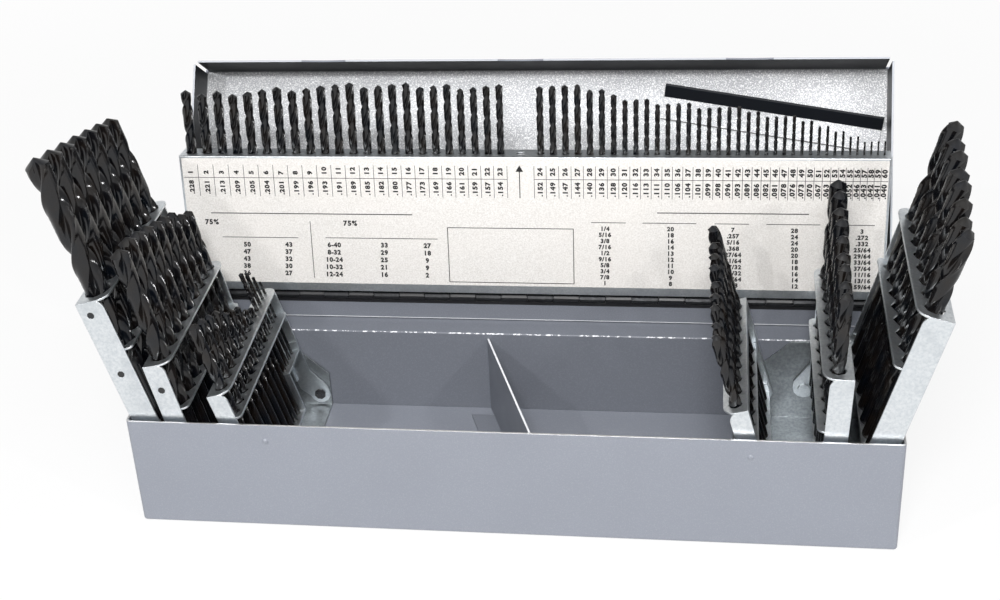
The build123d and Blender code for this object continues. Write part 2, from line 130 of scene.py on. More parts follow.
def noise(tree, coords, scale, detail=2.0, rough=0.5):
    links = {"Vector": coords, "Scale": scale, "Detail": detail, "Roughness": rough}
    return node(tree, "ShaderNodeTexNoise", links).outputs["Fac"]


def spread(tree, value, low, high, to_low, to_high):
    """Maps a value from one range to another and holds it there."""
    links = {"Value": value, "From Min": low, "From Max": high, "To Min": to_low, "To Max": to_high}
    return node(tree, "ShaderNodeMapRange", links).outputs["Result"]


def mixed(tree, share, first, second):
    """Mixes two colours, which a Mix node takes at its inputs 6 and 7 and gives at its output 2."""
    return node(tree, "ShaderNodeMix", {0: share, 6: first, 7: second}, data_type="RGBA").outputs[2]


def maths(tree, operation, first, second):
    return node(tree, "ShaderNodeMath", {0: first, 1: second}, operation=operation).outputs[0]


def above(tree, value, limit):
    return maths(tree, "GREATER_THAN", value, limit)


def below(tree, value, limit):
    return maths(tree, "LESS_THAN", value, limit)


def both(tree, first, second):
    return maths(tree, "MULTIPLY", first, second)


def either(tree, first, second):
    return maths(tree, "MAXIMUM", first, second)


def eased(tree, radius):
    """Normal with its sharp edges rounded by a small radius."""
    return node(tree, "ShaderNodeBevel", {"Radius": radius * MM}, samples=4).outputs[0]


# ---- shader groups ---------------------------------------------------------------
def make_enamel_group():
    """Sprayed enamel: fine speckle, faint mottling and an orange-peel surface."""
    group, start, end = new_group(
        "sprayed_enamel",
        [("Colour", COLOUR, (0.35, 0.37, 0.42, 1)), ("Fleck Colour", COLOUR, (0.6, 0.62, 0.66, 1)),
         ("Fleck", FLOAT, 0.2), ("Peel", FLOAT, 0.02 * MM)],
        [("Colour", COLOUR), ("Roughness", FLOAT), ("Normal", VECTOR)],
    )
    grime = (0.16, 0.17, 0.20, 1)
    place = object_place(group)
    cloud = noise(group, place, 26.0, 3.0)
    fleck = noise(group, place, 1500.0, 2.0, 0.7)
    peel = noise(group, place, 620.0)
    strength = both(group, spread(group, fleck, 0.5, 0.68, 0.0, 1.0), start.outputs["Fleck"])
    flecked = mixed(group, strength, start.outputs["Colour"], start.outputs["Fleck Colour"])
    clouded = mixed(group, spread(group, cloud, 0.3, 0.7, 0.0, 0.10), flecked, grime)
    bump = node(group, "ShaderNodeBump", {
        "Height": peel, "Distance": start.outputs["Peel"], "Strength": 0.6, "Normal": eased(group, 0.6),
    })
    group.links.new(clouded, end.inputs["Colour"])
    group.links.new(spread(group, cloud, 0.3, 0.7, 0.34, 0.44), end.inputs["Roughness"])
    group.links.new(bump.outputs[0], end.inputs["Normal"])
    return group


def make_spangle_group():
    """Zinc plate: soft cloudy mottling, tiny crystals and a fine grain."""
    group, start, end = new_group(
        "zinc_spangle",
        [("Bright", COLOUR, (0.81, 0.84, 0.86, 1)), ("Dull", COLOUR, (0.66, 0.70, 0.73, 1)),
         ("Stain", COLOUR, (0.54, 0.58, 0.61, 1)), ("Polish", FLOAT, 0.0)],
        [("Colour", COLOUR), ("Roughness", FLOAT), ("Normal", VECTOR)],
    )
    place = object_place(group)
    mottle = noise(group, place, 620.0, 4.0, 0.62)
    grain = noise(group, place, 2200.0)
    cloud = noise(group, place, 75.0, 4.0, 0.6)
    crystals = node(group, "ShaderNodeTexVoronoi", {"Vector": place, "Scale": 900.0})
    crystal = node(group, "ShaderNodeSeparateColor", {0: crystals.outputs["Color"]}).outputs[0]
    dulled = maths(group, "ADD", mottle, spread(group, crystal, 0.0, 1.0, -0.05, 0.05))
    dull_share = spread(group, dulled, 0.36, 0.66, 0.0, 1.0)
    plate = mixed(group, dull_share, start.outputs["Bright"], start.outputs["Dull"])
    colour = mixed(group, spread(group, cloud, 0.48, 0.72, 0.0, 0.55), plate, start.outputs["Stain"])
    rough = maths(group, "SUBTRACT", spread(group, mottle, 0.3, 0.7, 0.30, 0.46), start.outputs["Polish"])
    bump = node(group, "ShaderNodeBump", {
        "Height": grain, "Distance": 0.01 * MM, "Strength": 0.35, "Normal": eased(group, 0.5),
    })
    group.links.new(colour, end.inputs["Colour"])
    group.links.new(rough, end.inputs["Roughness"])
    group.links.new(bump.outputs[0], end.inputs["Normal"])
    return group


# Planes of the closed lid, from the hinge. Each lies a little beyond the faces that its mask takes in.
lid_inner_side = 191.05 * MM
lid_inner_front = -129.35 * MM
lid_under_lining = 13.25 * MM
lid_over_lining = 14.3 * MM
lid_skirt_edge = -10.35 * MM


def make_lid_places():
    """Masks on the open lid: its inner walls, its sheared edges and the flat inside of its panel."""
    group, _, end = new_group("lid_places", [], [("Walls", FLOAT), ("Edges", FLOAT), ("Panel", FLOAT)])
    closed = node(group, "ShaderNodeMapping", {
        "Vector": object_place(group), "Rotation": (lid_swing, 0, 0),
        "Location": -(Matrix.Rotation(lid_swing, 3, "X") @ hinge),
    })
    parts = split_place(group, closed.outputs[0])
    across = node(group, "ShaderNodeMath", {0: parts["X"]}, operation="ABSOLUTE").outputs[0]
    between_sides = below(group, across, lid_inner_side)
    inside = both(group, between_sides, above(group, parts["Y"], lid_inner_front))
    on_wall = below(group, parts["Z"], lid_under_lining)
    off_wall = above(group, parts["Z"], lid_under_lining)
    lining = both(group, off_wall, below(group, parts["Z"], lid_over_lining))
    group.links.new(both(group, inside, on_wall), end.inputs["Walls"])
    group.links.new(below(group, parts["Z"], lid_skirt_edge), end.inputs["Edges"])
    group.links.new(both(group, inside, lining), end.inputs["Panel"])
    return group


enamel_group = make_enamel_group()
spangle_group = make_spangle_group()
lid_places = make_lid_places()


# ---- painted and plated sheet ---------------------------------------------------------
def surface(name, group, inputs, **fixed):
    """A material whose colour, roughness and normal come from a group; fixed numbers sit on the shader."""
    material, tree, shader = new_material(name)
    effect = node(tree, "ShaderNodeGroup", inputs, node_tree=group)
    tree.links.new(effect.outputs["Colour"], shader.inputs["Base Color"])
    tree.links.new(effect.outputs["Roughness"], shader.inputs["Roughness"])
    tree.links.new(effect.outputs["Normal"], shader.inputs["Normal"])
    for key, value in fixed.items():
        shader.inputs[key.replace("_", " ")].default_value = value
    return material, tree, shader, effect


case_blue = (0.235, 0.250, 0.289, 1)
# case blue darkened as painted shade, for the liner and divider
inner_blue_painted_shade = (0.172, 0.184, 0.214, 1)
# case blue darkened as painted shade, for the lower hinge leaf
leaf_blue_painted_shade = (0.185, 0.197, 0.228, 1)
lining_silver = (0.30, 0.305, 0.315, 1)
lining_fleck = (0.85, 0.85, 0.855, 1)
# light grey painted highlight for the lid skirt's edge
edge_painted_highlight = (0.50, 0.52, 0.56, 1)
# near-black painted shade for the lid's inner walls and the point retainer's lip
painted_wall_shade = (0.012, 0.014, 0.018, 1)
rim_steel = (0.8, 0.8, 0.8, 1)
# pale painted highlight for bright lines along bends and edges
painted_highlight = (0.86, 0.87, 0.90, 1)
# near-black painted shade for the hinge knuckles
knuckle_painted_shade = (0.014, 0.014, 0.016, 1)

# Heights, and depths from front to back, at which a finish changes.
tray_rim = 61.95 * MM
ledge_front, ledge_top = 48.4 * MM, 49.7 * MM
liner_front, divider_back = 48.35 * MM, 48.3 * MM
divider_top = 46.3 * MM
knuckle_foot = 60.0 * MM
leaf_foot = 50.9 * MM


def make_lid_paint():
    """Silver hammered enamel on the lid's flat inside, painted shade on its inner walls and the point
    retainer's lip, a painted highlight on the skirt's edge, case paint outside.
    """
    material, tree, shader, effect = surface(
        "lid_enamel", enamel_group,
        {"Colour": lining_silver, "Fleck Colour": lining_fleck, "Fleck": 0.85, "Peel": 0.04 * MM},
        Specular_IOR_Level=0.1,
    )
    outside = node(tree, "ShaderNodeGroup", {"Colour": case_blue, "Fleck": 0.10}, node_tree=enamel_group)
    places = node(tree, "ShaderNodeGroup", node_tree=lid_places).outputs
    panel = mixed(tree, places["Panel"], outside.outputs["Colour"], effect.outputs["Colour"])
    # painted shade: the lid's inner walls and the retainer's lip darkened to near black
    walls = mixed(tree, places["Walls"], panel, painted_wall_shade)
    # painted highlight line along the skirt's edge
    edges = mixed(tree, places["Edges"], walls, edge_painted_highlight)
    dulled = spread(tree, places["Panel"], 0.0, 1.0, 0.0, 0.12)
    tree.links.new(edges, shader.inputs["Base Color"])
    tree.links.new(spread(tree, places["Panel"], 0.0, 1.0, 0.0, 0.5), shader.inputs["Metallic"])
    tree.links.new(maths(tree, "ADD", effect.outputs["Roughness"], dulled), shader.inputs["Roughness"])
    return material


def make_tray_paint():
    """The tray's enamel, worn through to bright steel on the sheared top edge."""
    material, tree, shader, effect = surface(
        "tray_enamel", enamel_group, {"Colour": case_blue, "Fleck": 0.10}
    )
    rim = above(tree, split_place(tree, object_place(tree))["Z"], tray_rim)
    tree.links.new(mixed(tree, rim, effect.outputs["Colour"], rim_steel), shader.inputs["Base Color"])
    tree.links.new(rim, shader.inputs["Metallic"])
    return material


def make_inner_paint():
    """Enamel of the liner and divider in a darker blue that is painted shade, with painted highlight lines
    along the ledge's bend and the divider's top edge.
    """
    material, tree, shader, effect = surface(
        "inner_enamel", enamel_group, {"Colour": inner_blue_painted_shade, "Fleck": 0.08}
    )
    place = object_place(tree)
    parts = split_place(tree, place)
    # painted highlight lines along the ledge's bend and the divider's top edge, of ragged width
    ragged = spread(tree, noise(tree, place, 350.0, 3.0, 0.7), 0.3, 0.7, 0.1 * MM, 0.8 * MM)
    back_and_down = maths(tree, "SUBTRACT", parts["Y"], parts["Z"])
    from_bend = maths(tree, "SUBTRACT", back_and_down, ledge_front - ledge_top)
    ledge = both(tree, below(tree, from_bend, ragged), above(tree, parts["Y"], liner_front))
    edge = both(tree, above(tree, parts["Z"], divider_top), below(tree, parts["Y"], divider_back))
    # the painted highlight mixed over the enamel colour
    worn = mixed(tree, either(tree, ledge, edge), effect.outputs["Colour"], painted_highlight)
    tree.links.new(worn, shader.inputs["Base Color"])
    return material


def make_leaf_paint():
    """The lower hinge leaf is painted with the case in a darker blue that is painted shade; its knuckles are
    near black as painted shade and its lower edge has a painted highlight line.
    """
    material, tree, shader, effect = surface(
        "painted_leaf", enamel_group, {"Colour": leaf_blue_painted_shade, "Fleck": 0.10}
    )
    height = split_place(tree, object_place(tree))["Z"]
    # painted shade: the knuckles above knuckle_foot near black
    dark = mixed(tree, above(tree, height, knuckle_foot), effect.outputs["Colour"], knuckle_painted_shade)
    # painted highlight line along the leaf's lower edge
    sheared = mixed(tree, below(tree, height, leaf_foot), dark, painted_highlight)
    tree.links.new(sheared, shader.inputs["Base Color"])
    return material


def make_plated(name, bright, dull, stain, polish=0.0, **fixed):
    """A sheet or pin with the spangle pattern in its own three shades."""
    shades = {"Bright": (*bright, 1), "Dull": (*dull, 1), "Stain": (*stain, 1), "Polish": polish}
    return surface(name, spangle_group, shades, **fixed)[0]


lid_paint = make_lid_paint()
tray_paint = make_tray_paint()
leaf_paint = make_leaf_paint()
inner_paint = make_inner_paint()
zinc = make_plated("zinc_plate", (0.81, 0.84, 0.86), (0.66, 0.70, 0.73), (0.54, 0.58, 0.61), Metallic=1.0)
# hinge steel darkened to near black as painted shade
hinge_steel = make_plated(
    "hinge_steel", (0.030, 0.031, 0.034), (0.018, 0.019, 0.021), (0.012, 0.012, 0.013),
    Metallic=0.3, Specular_IOR_Level=0.2,
)
bracket_zinc = make_plated(
    "bracket_zinc", (0.43, 0.455, 0.47), (0.33, 0.35, 0.365), (0.23, 0.245, 0.255), -0.08, Metallic=1.0
)
# dark steel for the left racks' pivots, darkened as painted shade of the pivot holes
pivot_steel_painted_shade = make_plated(
    "pivot_steel_painted_shade", (0.10, 0.10, 0.105), (0.05, 0.05, 0.055), (0.03, 0.03, 0.03), 0.08, Metallic=0.8
)


# ---- black oxide, card and ink --------------------------------------------------------
def make_black_oxide(name, brown, blue, smoothest, roughest):
    """Oiled black oxide: near-black with brown and blue casts, fine drawn grain and a soft sheen."""
    material, tree, shader = new_material(name)
    place = object_place(tree)
    cast = noise(tree, place, 90.0, 3.0)
    fine = noise(tree, place, 420.0)
    tint = mixed(tree, spread(tree, cast, 0.35, 0.65, 0.0, 1.0), (*brown, 1), (*blue, 1))
    bump = node(tree, "ShaderNodeBump", {"Height": fine, "Distance": 0.004 * MM, "Strength": 0.15})
    tree.links.new(tint, shader.inputs["Base Color"])
    tree.links.new(spread(tree, fine, 0.3, 0.7, smoothest, roughest), shader.inputs["Roughness"])
    tree.links.new(bump.outputs[0], shader.inputs["Normal"])
    shader.inputs["Specular IOR Level"].default_value = 0.5
    return material


def make_label_card():
    """Cream label card with a fine printed-paper speckle."""
    material, tree, shader = new_material("label_card")
    shaded, pale, warm = (0.66, 0.635, 0.605, 1), (0.82, 0.80, 0.775, 1), (0.80, 0.76, 0.72, 1)
    place = object_place(tree)
    speckle = noise(tree, place, 1300.0, 3.0, 0.7)
    cloud = noise(tree, place, 40.0, 3.0)
    base = mixed(tree, spread(tree, speckle, 0.38, 0.62, 0.0, 1.0), shaded, pale)
    colour = mixed(tree, spread(tree, cloud, 0.4, 0.7, 0.0, 0.25), base, warm)
    tree.links.new(colour, shader.inputs["Base Color"])
    tree.links.new(spread(tree, speckle, 0.3, 0.7, 0.38, 0.55), shader.inputs["Roughness"])
    return material


def make_print_ink():
    """Matt black ink that covers the card a little unevenly."""
    material, tree, shader = new_material("print_ink")
    full, thin = (0.006, 0.006, 0.007, 1), (0.016, 0.015, 0.015, 1)
    tint = mixed(tree, noise(tree, object_place(tree), 900.0), full, thin)
    tree.links.new(tint, shader.inputs["Base Color"])
    shader.inputs["Roughness"].default_value = 0.55
    return material


black_oxide = make_black_oxide("black_oxide", (0.007, 0.005, 0.004), (0.002, 0.003, 0.005), 0.11, 0.20)
# rougher oxide for the points, its lighter colour a painted sheen
point_oxide_painted_sheen = make_black_oxide("point_oxide_painted_sheen", (0.020, 0.019, 0.018), (0.013, 0.014, 0.017), 0.30, 0.42)
label_card = make_label_card()
print_ink = make_print_ink()


def finish_node(name, material):
    """Gives a carried-over solid its finish."""
    obj = nodes[name]
    if not obj.data.materials:
        obj.data.materials.append(material)
    for slot in obj.material_slots:
        slot.link = "OBJECT"
        slot.material = material


# ---- twist drill bits ----------------------------------------------------------------
# Half of the section of a fluted bit: degrees from the cutting margin, share of the full radius.
fine_section = (
    (0, 1.0), (8, 1.0), (11, 0.962), (30, 0.962), (50, 0.962), (70, 0.962), (88, 0.956), (99, 0.90),
    (109, 0.73), (120, 0.52), (133, 0.38), (147, 0.37), (160, 0.51), (170, 0.75), (177, 0.95),
)
coarse_section = (
    (0, 1.0), (12, 0.97), (45, 0.96), (80, 0.95), (102, 0.86), (122, 0.50), (145, 0.37), (166, 0.66),
)
fine_radius = 1.7 * MM  # from here on a bit has the fine section
fine_step, coarse_step = math.radians(12), math.radians(20)
helix_angle = math.radians(30)
point_slope = math.tan(math.radians(59))
land_end = 104  # degrees from the margin to the heel of the land
heel_relief = 0.22  # how far the heel lies below the lip, as a share of its distance from the axis
point_rings = (0.55, 0.22)  # size of each ring of the point, as a share of the ring before it
run_out = 6  # steps over which the flutes grow out of the shank
run_out_curve = 1.6
small_flute, added_flute = 0.46, 0.27  # share of the length that is fluted, and what the biggest bits add
long_flute_radius = 5.2 * MM


def by_turn(verts, twist):
    """Vertices of a ring in their order round the axis, from the twist angle on."""
    return sorted(verts, key=lambda v: (math.atan2(v.co.y, v.co.x) - twist + 0.01) % math.tau)


def extrude_ring(part, loop):
    geom = bmesh.ops.extrude_edge_only(part, edges=loop)["geom"]
    verts = [v for v in geom if isinstance(v, bmesh.types.BMVert)]
    edges = [e for e in geom if isinstance(e, bmesh.types.BMEdge)]
    return verts, edges


def add_shank_foot(part, section, radius, twist):
    """Flat round foot, with one point for each point of the fluted section."""
    turns = [angle + twist for angle, _, _ in section]
    ring = [part.verts.new((radius * math.cos(turn), radius * math.sin(turn), 0)) for turn in turns]
    loop = [part.edges.new(pair) for pair in zip(ring, ring[1:] + ring[:1])]
    bmesh.ops.contextual_create(part, geom=loop)
    return loop


def add_run_out(part, loop, section, radius, step, rise, start):
    """Shank, then turning rings in which the flutes deepen to their full section at the start height."""
    twist = -run_out * step
    for index in range(run_out + 1):
        verts, loop = extrude_ring(part, loop)
        before, twist = twist, (index - run_out) * step
        depth = (index / run_out) ** run_out_curve
        height = start + twist / step * rise
        for (angle, _, share), vert in zip(section, by_turn(verts, before)):
            reach = radius * (1 + (share - 1) * depth)
            vert.co = (reach * math.cos(angle + twist), reach * math.sin(angle + twist), height)
    return verts, loop


def add_point(part, section, radius, twist, rise):
    """Ends the flutes in two cutting lips with relief behind them, in the point finish, whose lighter colour
    is a painted sheen.
    """
    crown = max(v.co.z for v in part.verts)
    verts = [v for v in part.verts if v.co.z > crown - rise * 0.2]
    point = set(verts)
    loop = [e for e in part.edges if e.verts[0] in point and e.verts[1] in point]

    def shape_ring(scale):
        for (_, around, _), vert in zip(section, by_turn(verts, twist)):
            vert.co.xy *= scale
            reach = vert.co.xy.length
            behind = around / land_end if around < land_end else (180 - around) / (180 - land_end)
            vert.co.z = crown + (radius - reach) / point_slope - heel_relief * reach * behind

    shape_ring(1.0)
    for scale in point_rings:
        verts, loop = extrude_ring(part, loop)
        point.update(verts)
        shape_ring(scale)
    bmesh.ops.contextual_create(part, geom=loop)
    for face in part.faces:
        face.material_index = int(all(vert in point for vert in face.verts))


def add_twist_drill(bm, foot, tip, radius, turn):
    """One bit from foot to tip: round shank, flutes that grow out of it, two margins and a relieved point."""
    fine = radius > fine_radius
    half = fine_section if fine else coarse_section
    section = [(math.radians(around + side), around, share) for side in (0, 180) for around, share in half]
    step = fine_step if fine else coarse_step
    rise = step * radius / math.tan(helix_angle)
    length = (tip - foot).length
    point = radius / point_slope
    flute = length * (small_flute + added_flute * min(1.0, radius / long_flute_radius))
    steps = int((flute - point) / rise)
    start = length - point - steps * rise

    part = bmesh.new()
    loop = add_shank_foot(part, section, radius, -run_out * step)
    verts, loop = add_run_out(part, loop, section, radius, step, rise, start)
    bmesh.ops.spin(
        part, geom=loop + verts, cent=(0, 0, 0), axis=(0, 0, 1), angle=step * steps, steps=steps,
        dvec=(0, 0, rise), use_merge=False, use_duplicate=False,
    )
    add_point(part, section, radius, steps * step, rise)
    bmesh.ops.recalc_face_normals(part, faces=part.faces)

    lean = (tip - foot).normalized().to_track_quat("Z", "Y").to_matrix().to_4x4()
    stand = Matrix.Translation(foot) @ lean @ Matrix.Rotation(turn, 4, "Z")
    bmesh.ops.transform(part, matrix=stand, verts=part.verts)
    scratch = bpy.data.meshes.new("bit")
    part.to_mesh(scratch)
    part.free()
    bm.from_mesh(scratch)
    bpy.data.meshes.remove(scratch)


def islands_of(bm):
    """Points of each loose part of a bmesh."""
    left = set(bm.verts)
    while left:
        island, waiting = set(), [left.pop()]
        while waiting:
            vert = waiting.pop()
            island.add(vert)
            for edge in vert.link_edges:
                other = edge.other_vert(vert)
                if other in left:
                    left.remove(other)
                    waiting.append(other)
        yield [v.co.copy() for v in island]


def plain_bits(name):
    """Foot centre, tip and radius of each plain bit in a node, from its own solid."""
    foot_sides = 6
    bm = bmesh.new()
    bm.from_mesh(nodes[name].data)
    bmesh.ops.remove_doubles(bm, verts=bm.verts, dist=1e-6)
    found = []
    for points in islands_of(bm):
        middle = sum(points, Vector()) / len(points)
        tip = max(points, key=lambda p: (p - middle).length if p.z > middle.z else 0)
        points.sort(key=lambda p: (p - tip).length)
        foot = sum(points[-foot_sides:], Vector()) / foot_sides
        found.append((foot, tip, (points[-1] - foot).length))
    bm.free()
    found.sort(key=lambda bit: (round(bit[0].y, 4), bit[0].x))
    return found


def make_bits(name, body, seed, spread_of_turns):
    """Twist drill bits in place of the plain ones; big bits sit at nearly the same turn in their rack."""
    least_turn = 0.6
    turns = random.Random(seed)
    bm = bmesh.new()
    for foot, tip, radius in plain_bits(name):
        add_twist_drill(bm, foot, tip, radius, least_turn + turns.uniform(0, spread_of_turns))
    made = piece(name.replace("drills", "twist_drills"), bm, body, black_oxide, sharp=0.7)
    made.data.materials.append(point_oxide_painted_sheen)
    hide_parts(name)


# ---- the printed scale on the number rack ------------------------------------------------
# Millimetres on the upright card: x from its middle, height from the hinge.
print_front = -3.19
print_depth = 0.04
scale_text, scale_stretch = 3.5, 1.14
number_foot, decimal_foot = 71.4, 60.0
tick_middle, tick_length, tick_width = 68.0, 18.0, 0.26
scale_rule_height, scale_rule_width, scale_end = 69.6, 0.28, 187.0
hole_after = 23  # the empty hole comes after this bit
hole_left, hole_right = 6.8, 7.5
arrow_x, arrow_foot, arrow_head, arrow_line, arrow_size = -2.2, 59.1, 75.0, 0.5, 2.4
percent_places, percent_height, percent_text = (-173.5, -95.5), 43.8, 3.9

decimal_sizes = (
    "228 221 213 209 205 204 201 199 196 193 191 189 185 182 180 177 173 169 166 161 "
    "159 157 154 152 149 147 144 140 136 128 120 116 113 111 110 106 104 101 099 098 "
    "096 093 089 086 082 081 078 076 073 070 067 063 059 055 052 046 043 042 041 040"
).split()

# Columns of plain numbers: x of the first and last row, heights of these, size, and the numbers.
number_columns = (
    (-183.2, -183.6, 30.7, 13.7, 3.4, "2-56 3-48 4-40 5-40 6-32"),
    (-154.7, -156.3, 30.7, 13.7, 3.6, "50 47 43 38 36"),
    (-131.0, -132.4, 30.9, 13.9, 3.6, "43 37 32 30 27"),
    (-105.4, -106.6, 31.0, 13.6, 3.6, "6-40 8-32 10-24 10-32 12-24"),
    (-77.4, -78.4, 31.2, 13.8, 3.6, "33 29 25 21 16"),
    (-53.6, -54.4, 31.2, 13.8, 3.6, "27 18 9 9 2"),
    (42.7, 42.5, 42.2, 10.8, 3.2, "1/4 5/16 3/8 7/16 1/2 9/16 5/8 3/4 7/8 1"),
    (77.2, 77.5, 42.4, 11.0, 3.2, "20 18 16 14 13 12 11 10 9 8"),
    (109.7, 110.5, 42.3, 10.7, 3.2, "7 .257 5/16 .368 27/64 31/64 17/32 21/32 49/64 7/8"),
    (141.3, 142.5, 42.2, 10.7, 3.2, "28 24 24 20 20 18 18 16 14 12"),
    (175.6, 177.3, 42.2, 10.9, 3.2, "3 .272 .332 25/64 29/64 33/64 37/64 11/16 13/16 59/64"),
)
# Level rules, and the level sides of the frame: start and end along x, height, thickness.
level_rules = (
    (-173.6, -61.0, 49.0, 0.5), (-168.4, -125.4, 34.9, 0.35), (-110.0, -47.8, 35.1, 0.35),
    (70.1, 148.3, 51.4, 0.5), (35.3, 53.8, 45.6, 0.35), (62.5, 90.6, 45.6, 0.35), (100.1, 118.0, 45.6, 0.35),
    (126.8, 154.4, 45.6, 0.35), (163.5, 181.8, 45.6, 0.35),
    (-42.1, 25.9, 41.8, 0.4), (-42.1, 25.9, 10.1, 0.4),
)
# Upright rules: x, foot and head, thickness. The last is the arrow's line.
upright_rules = (
    (-118.0, 11.3, 44.7, 0.35), (-42.1, 10.1, 41.8, 0.4), (25.9, 10.1, 41.8, 0.4),
    (arrow_x, arrow_foot, arrow_head, arrow_line),
)

level = Matrix.Rotation(math.pi / 2, 4, "X")
upward = level @ Matrix.Rotation(math.pi / 2, 4, "Z")
glyphs = {}
usual_width = 0.59
special_widths = {".": 0.26, "/": 0.36, "-": 0.36, "%": 0.86}
half_glyph = 0.35


def glyph(character):
    """Flat mesh of one bold printed character at a height of one unit, and its middle."""
    if character not in glyphs:
        curve = bpy.data.curves.new("glyph", "FONT")
        curve.body = character
        curve.resolution_u = 3
        curve.offset = 0.055
        holder = bpy.data.objects.new("glyph", curve)
        mesh = bpy.data.meshes.new_from_object(holder)
        bpy.data.objects.remove(holder)
        xs = [v.co.x for v in mesh.vertices]
        glyphs[character] = (mesh, (min(xs) + max(xs)) / 2)
    return glyphs[character]


def add_text(bm, text, place, size, align=0.5, stretch=1.0):
    """Adds a line of plain characters at a place; align is the share of its length before that place."""
    widths = [special_widths.get(character, usual_width) for character in text]
    height = size * MM
    x = -sum(widths) * align
    for character, width in zip(text, widths):
        mesh, middle = glyph(character)
        scratch = mesh.copy()
        centred = Matrix.Translation((x + width / 2 - middle, -half_glyph, 0))
        scratch.transform(place @ Matrix.Diagonal((height * stretch, height, height, 1)) @ centred)
        bm.from_mesh(scratch)
        bpy.data.meshes.remove(scratch)
        x += width


def on_card(x, height):
    return number_frame @ shift(x, print_front, height)


def add_rule(bm, x, height, width, depth):
    add_box(bm, on_card(x, height), (width * MM, print_depth * MM, depth * MM))


def add_scale(bm, columns):
    """Bit numbers over their decimal sizes, one pair under each hole, with ticks between them."""
    for index, (x, size) in enumerate(zip(columns, decimal_sizes)):
        add_text(bm, str(index + 1), on_card(x, number_foot) @ upward, scale_text, 0, scale_stretch)
        add_text(bm, "." + size, on_card(x, decimal_foot) @ upward, scale_text, 0, scale_stretch)
    ticks = [(a + b) / 2 for a, b in zip(columns, columns[1:])]
    hole = ticks[hole_after - 1]
    ticks[hole_after - 1:hole_after] = [hole - hole_left, hole + hole_right]
    for x in ticks:
        add_rule(bm, x, tick_middle, tick_width, tick_length)
    for start, end in ((-scale_end, hole - hole_left), (hole + hole_right, scale_end)):
        add_rule(bm, (start + end) / 2, scale_rule_height, end - start, scale_rule_width)


def add_columns(bm):
    for first_x, last_x, first_height, last_height, size, numbers in number_columns:
        numbers = numbers.split()
        for row, number in enumerate(numbers):
            share = row / (len(numbers) - 1)
            x = first_x + (last_x - first_x) * share
            height = first_height + (last_height - first_height) * share
            add_text(bm, number, on_card(x, height) @ level, size)
    for x in percent_places:
        add_text(bm, "75%", on_card(x, percent_height) @ level, percent_text)


def make_print():
    """Plain numbers, ticks and rules on the card: bit numbers and decimal sizes, then columns of numbers."""
    bits = sorted(plain_bits("number_drills"), key=lambda bit: bit[0].x)
    bm = bmesh.new()
    add_scale(bm, [foot.x / MM for foot, _, _ in bits])
    for start, end, height, thick in level_rules:
        add_rule(bm, (start + end) / 2, height, end - start, thick)
    for x, low, high, thick in upright_rules:
        add_rule(bm, x, (low + high) / 2, thick, high - low)
    add_disc(bm, on_card(arrow_x, arrow_head) @ level, arrow_size, arrow_size, print_depth, 3)
    add_columns(bm)
    piece("scale_print", bm, "number_rack", print_ink, smooth=False)


# ---- small parts on the sheets ------------------------------------------------------------
# Rack, lean in degrees, then in millimetres its pivot in the rack's own plane and in the case, and holes
# in the rack's plane.
leg_holes = (
    ("left_rack_1", 15.2, (9.0, 88.6), (-174.6, 44.1), ((5.2, -7.5), (6.0, -42.5))),
    ("left_rack_2", 12.1, (13.3, 75.0), (-149.2, 21.5), ((5.0, -14.6),)),
)
# dark discs that paint the shade in the leg holes: their front, radius and depth
hole_shade_front, hole_shade_radius, hole_shade_depth = -60.5, 1.86, 0.9

# Fixed edge of the point retainer, on the closed lid.
retainer_start, retainer_end = Vector((71.4, -114.7, 0)), Vector((188.3, -95.8, 0))
# place and size of the dark strip of painted shadow along that edge
retainer_edge_height, retainer_edge_back = 13.75, 12.75
retainer_edge_size = Vector((118.2, 0.5, 0.96)) * MM

weld_foot, weld_top, weld_depth = 2.4, 1.9, 0.24
leaf_weld_spacing, leaf_weld_height = 43, 55.4
retainer_weld_spacing, retainer_weld_back, retainer_weld_height = 48, 6.5, 14.7


def make_leg_hole_shade():
    """Dark discs in the front leg holes of the two outer left racks, as painted shade in the holes."""
    for name, lean, (across, height), (pivot_x, pivot_z), holes in leg_holes:
        stand = shift(pivot_x, 0, pivot_z) @ Matrix.Rotation(math.radians(-lean), 4, "Y")
        bm = bmesh.new()
        for hole_across, hole_height in holes:
            spot = shift(hole_across - across, hole_shade_front, hole_height + height)
            add_disc(bm, stand @ spot @ level, hole_shade_radius, hole_shade_radius, hole_shade_depth)
        piece(f"{name}_leg_hole_shade", bm, name, point_oxide_painted_sheen)


def on_retainer(height):
    """The middle of the point retainer's fixed edge at a height on the closed lid, with X along the strip."""
    middle = (retainer_start + retainer_end) / 2
    along = retainer_end - retainer_start
    slant = Matrix.Rotation(math.atan2(along.y, along.x), 4, "Z")
    return lid_frame @ shift(middle.x, middle.y, height) @ slant


def make_retainer_edge():
    """Dark strip of painted shadow along the point retainer's lower edge, where it lies on the lid panel."""
    bm = bmesh.new()
    add_box(bm, on_retainer(retainer_edge_height) @ shift(0, retainer_edge_back, 0), retainer_edge_size)
    piece("retainer_edge_shadow", bm, "lid", point_oxide_painted_sheen)


